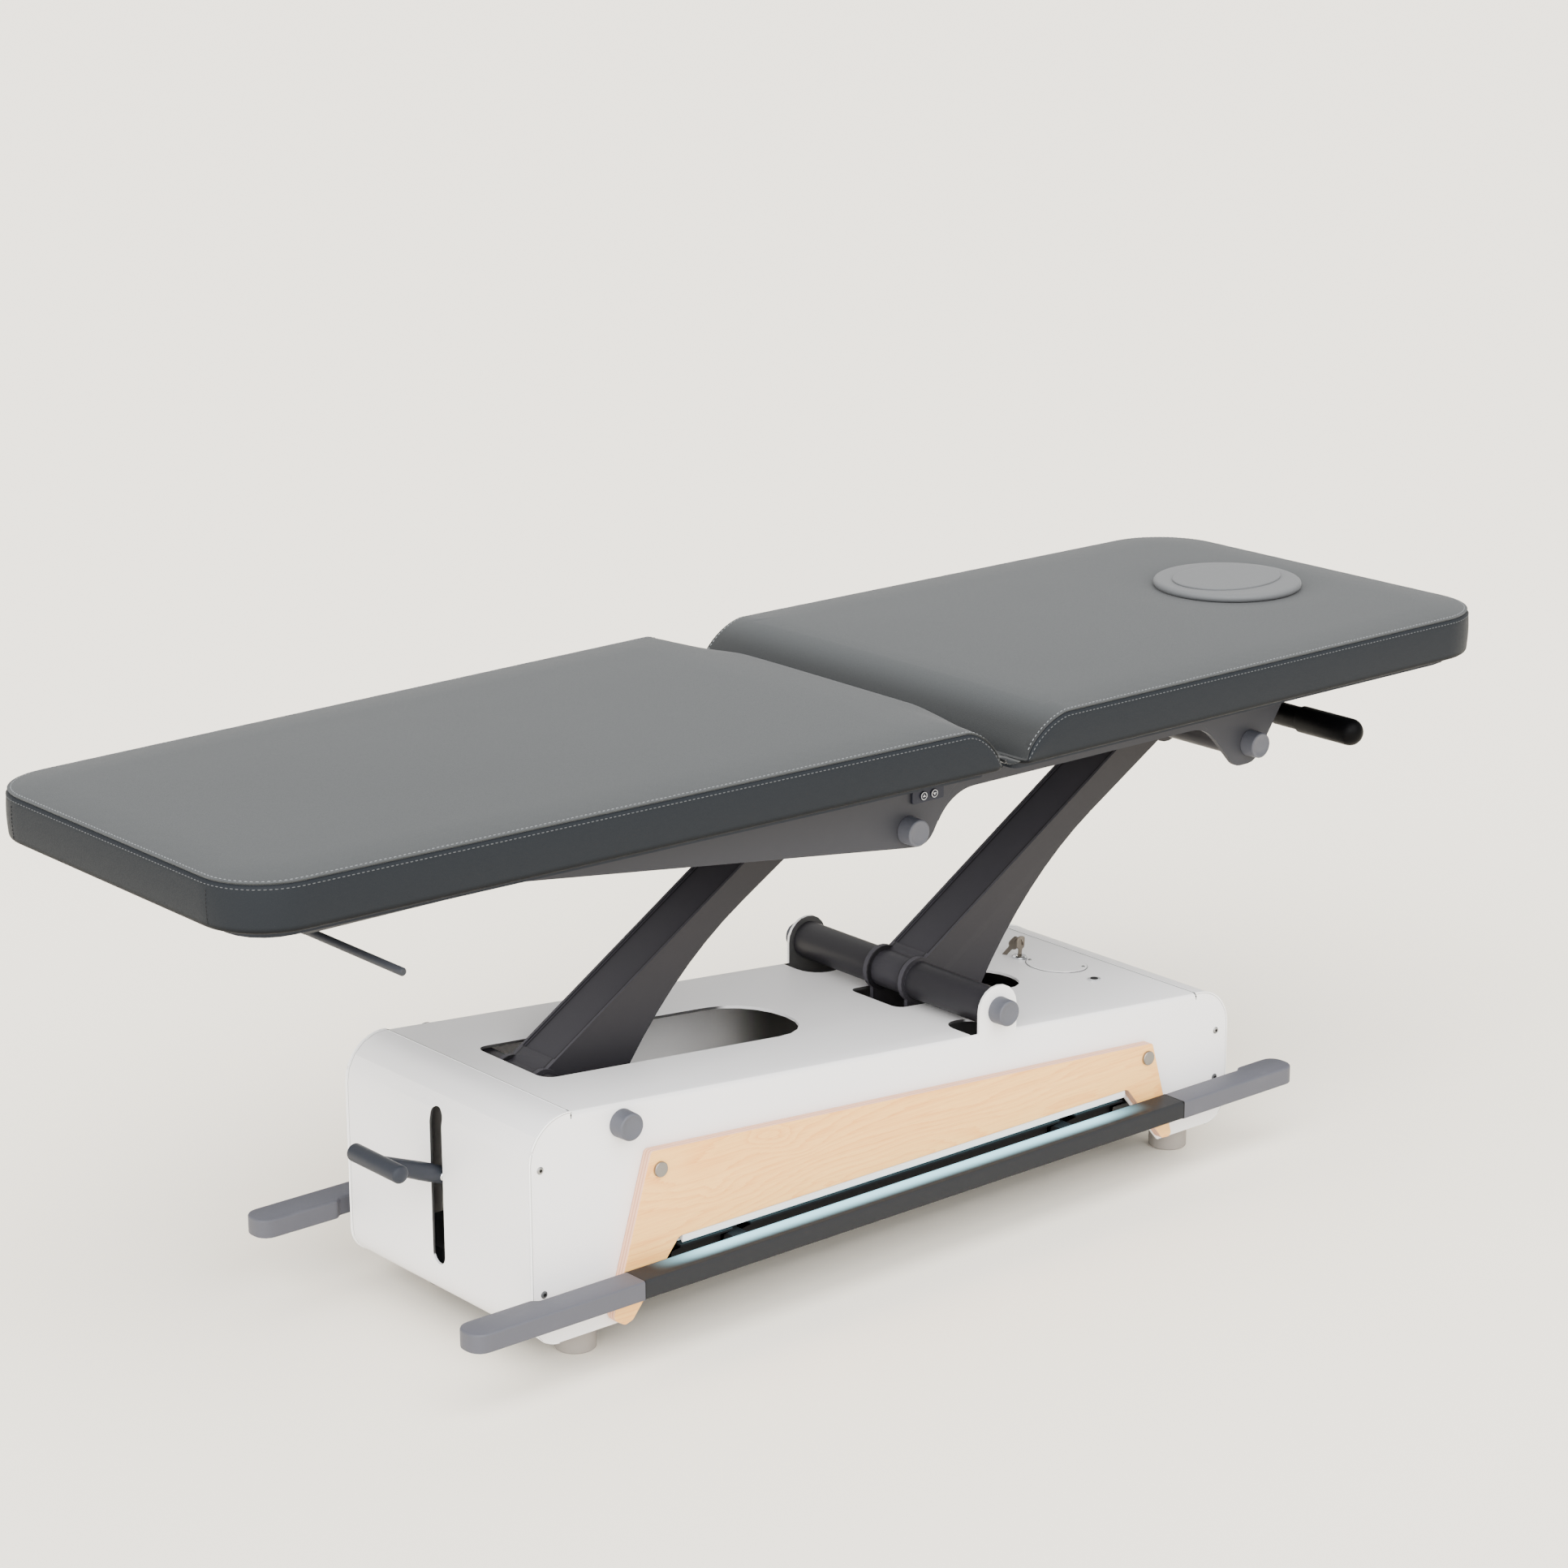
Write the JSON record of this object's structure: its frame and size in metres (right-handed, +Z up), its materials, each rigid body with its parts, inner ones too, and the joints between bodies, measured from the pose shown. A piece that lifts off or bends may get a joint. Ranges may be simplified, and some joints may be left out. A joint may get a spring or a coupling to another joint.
{
  "type": "electric physiotherapy table",
  "caption": "Electric treatment table: wedge-shaped base with foot bars and castor lever, parallelogram lift arms, padded top with a tilting head section and face plug.",
  "frame": {"origin": "on the floor, below the middle of the tabletop", "axes": "+X to the head end, +Y to the far long side, +Z up"},
  "size_m": [2, 0.644, 0.75],
  "materials": {
    "pad_cover": "matt grained synthetic leather",
    "plug_cover": "matt synthetic leather",
    "housing_paint": "satin fine-textured powder coat",
    "arm_paint": "satin powder coat",
    "plate_paint": "satin powder coat",
    "frame_paint": "satin powder coat",
    "cap_plastic": "matt moulded",
    "light_wood": "clear lacquered layered birch",
    "board_wood": "raw plywood",
    "bar_plastic": "satin",
    "tip_plastic": "matt moulded",
    "roll_bar_paint": "satin powder coat",
    "black_plastic": "satin",
    "spring_paint": "satin",
    "grey_plastic": "matt",
    "chrome": "polished",
    "steel": "bright",
    "light_bar": "frosted, lit",
    "foot_rubber": "matt",
    "wheel_rubber": "matt",
    "key_nickel": "worn"
  },
  "bodies": {
    "base": {"base_frame": "frame_paint", "base_cover": "housing_paint", "end_cover_foot": "housing_paint", "end_cover_head": "housing_paint", "levelling_foot_foot_near": "foot_rubber", "levelling_foot_foot_far": "foot_rubber", "levelling_foot_head_near": "foot_rubber", "levelling_foot_head_far": "foot_rubber", "axle_cap_a_near": "cap_plastic", "axle_cap_a_far": "cap_plastic", "axle_cap_b_near": "cap_plastic", "axle_cap_b_far": "cap_plastic", "wood_panel_near": "light_wood", "wood_panel_far": "light_wood", "light_bar_near": "light_bar", "light_bar_far": "light_bar", "control_box": "grey_plastic", "lift_actuator": "grey_plastic", "key_switch": "chrome", "service_disc": "housing_paint", "handset_socket": "chrome"},
    "arm_foot": {"arm_foot": "arm_paint"},
    "arm_head": {"arm_head": "arm_paint"},
    "actuator": {"actuator_rod": "steel"},
    "table": {"side_plate_near": "plate_paint", "side_plate_far": "plate_paint", "table_frame": "frame_paint", "front_board": "board_wood", "front_cushion": "pad_cover", "axle_cap_c_near": "cap_plastic", "axle_cap_c_far": "cap_plastic", "axle_cap_d_near": "cap_plastic", "axle_cap_d_far": "cap_plastic", "button_panel": "cap_plastic", "paper_roll_bar": "roll_bar_paint", "hinge_pin": "steel"},
    "button_up": {"button_up": "tip_plastic"},
    "button_down": {"button_down": "tip_plastic"},
    "head": {"head_frame": "frame_paint", "head_board": "board_wood", "head_cushion": "pad_cover"},
    "spring_tube": {"gas_spring_cylinder": "spring_paint"},
    "spring_rod": {"gas_spring_rod": "steel"},
    "release": {"release_lever": "steel", "release_grip": "black_plastic"},
    "plug": {"face_plug": "plug_cover"},
    "foot_bar_near": {"foot_bar_near": "bar_plastic", "foot_bar_end_foot_near": "tip_plastic", "foot_bar_end_head_near": "tip_plastic"},
    "foot_bar_far": {"foot_bar_far": "bar_plastic", "foot_bar_end_foot_far": "tip_plastic", "foot_bar_end_head_far": "tip_plastic"},
    "tread": {"castor_lever": "black_plastic"},
    "carriage": {"castor_carriage": "frame_paint"},
    "key": {"key": "key_nickel"},
    "wheel_foot_near": {"castor_wheel_foot_near": "wheel_rubber"},
    "wheel_foot_far": {"castor_wheel_foot_far": "wheel_rubber"},
    "wheel_head_near": {"castor_wheel_head_near": "wheel_rubber"},
    "wheel_head_far": {"castor_wheel_head_far": "wheel_rubber"}
  },
  "joints": [
    {"name": "lift", "type": "hinge", "parent": "base", "child": "arm_foot", "pos_m": [-0.4294, 0, 0.302], "axis": [0, -1, 0], "range_deg": [-28, 34]},
    {"name": "head_arm_swing", "type": "hinge", "parent": "base", "child": "arm_head", "pos_m": [0.1886, 0, 0.302], "axis": [0, -1, 0], "range_deg": [-28, 34]},
    {"name": "table_level", "type": "hinge", "parent": "arm_foot", "child": "table", "pos_m": [0.02967, 0, 0.57674], "axis": [0, -1, 0], "range_deg": [-34, 28]},
    {"name": "push_rod", "type": "slide", "parent": "base", "child": "actuator", "axis": [1, 0, 0], "range_m": [-0.0405, 0.049]},
    {"name": "head_tilt", "type": "hinge", "parent": "table", "child": "head", "pos_m": [0.0915, 0, 0.70004], "axis": [0, -1, 0], "range_deg": [0, 60]},
    {"name": "spring_swing", "type": "hinge", "parent": "table", "child": "spring_tube", "pos_m": [0.115, 0, 0.63204], "axis": [0, -1, 0], "range_deg": [0, 60]},
    {"name": "spring_stroke", "type": "slide", "parent": "spring_tube", "child": "spring_rod", "axis": [0.9997, 0, -0.0263], "range_m": [0, 0.0735]},
    {"name": "release_pull", "type": "hinge", "parent": "head", "child": "release", "pos_m": [0.748, -0.12, 0.592], "axis": [-1, 0, 0], "range_deg": [0, 10], "stiffness_Nm_per_rad": 1, "springref_deg": -17.19},
    {"name": "plug_lift", "type": "slide", "parent": "head", "child": "plug", "axis": [0, 0, 1], "range_m": [0, 0.08]},
    {"name": "up_press", "type": "slide", "parent": "table", "child": "button_up", "axis": [0, 1, 0], "range_m": [0, 0.0015], "stiffness_N_per_m": 800, "springref_m": -0.001},
    {"name": "down_press", "type": "slide", "parent": "table", "child": "button_down", "axis": [0, 1, 0], "range_m": [0, 0.0015], "stiffness_N_per_m": 800, "springref_m": -0.001},
    {"name": "near_bar_press", "type": "hinge", "parent": "base", "child": "foot_bar_near", "pos_m": [0.027, -0.165, 0.106], "axis": [1, 0, 0], "range_deg": [0, 6], "stiffness_Nm_per_rad": 6, "springref_deg": -28.65},
    {"name": "far_bar_press", "type": "hinge", "parent": "base", "child": "foot_bar_far", "pos_m": [0.027, 0.165, 0.106], "axis": [-1, 0, 0], "range_deg": [0, 6], "stiffness_Nm_per_rad": 6, "springref_deg": -28.65},
    {"name": "tread_press", "type": "hinge", "parent": "base", "child": "tread", "pos_m": [-0.5, 0, 0.186], "axis": [0, -1, 0], "range_deg": [0, 35]},
    {"name": "castor_drop", "type": "slide", "parent": "base", "child": "carriage", "axis": [0, 0, -1], "range_m": [0, 0.0201]},
    {"name": "key_turn", "type": "hinge", "parent": "base", "child": "key", "pos_m": [0.462, 0.055, 0.24782], "axis": [0.0892, 0, 0.996], "range_deg": [0, 90]},
    {"name": "roll_foot_near", "type": "hinge", "parent": "carriage", "child": "wheel_foot_near", "pos_m": [-0.36, -0.089, 0.042], "axis": [0, 1, 0], "continuous": true},
    {"name": "roll_foot_far", "type": "hinge", "parent": "carriage", "child": "wheel_foot_far", "pos_m": [-0.36, 0.089, 0.042], "axis": [0, 1, 0], "continuous": true},
    {"name": "roll_head_near", "type": "hinge", "parent": "carriage", "child": "wheel_head_near", "pos_m": [0.45, -0.089, 0.042], "axis": [0, 1, 0], "continuous": true},
    {"name": "roll_head_far", "type": "hinge", "parent": "carriage", "child": "wheel_head_far", "pos_m": [0.45, 0.089, 0.042], "axis": [0, 1, 0], "continuous": true}
  ],
  "couplings": [
    {"joint": "head_arm_swing", "follows": "lift", "ratio": 1},
    {"joint": "table_level", "follows": "lift", "ratio": -1},
    {"joint": "push_rod", "follows": "lift", "m_per_rad": 0.0818},
    {"joint": "spring_swing", "follows": "head_tilt", "ratio": 0.988},
    {"joint": "spring_stroke", "follows": "head_tilt", "m_per_rad": 0.069},
    {"joint": "castor_drop", "follows": "tread_press", "m_per_rad": 0.03274}
  ]
}
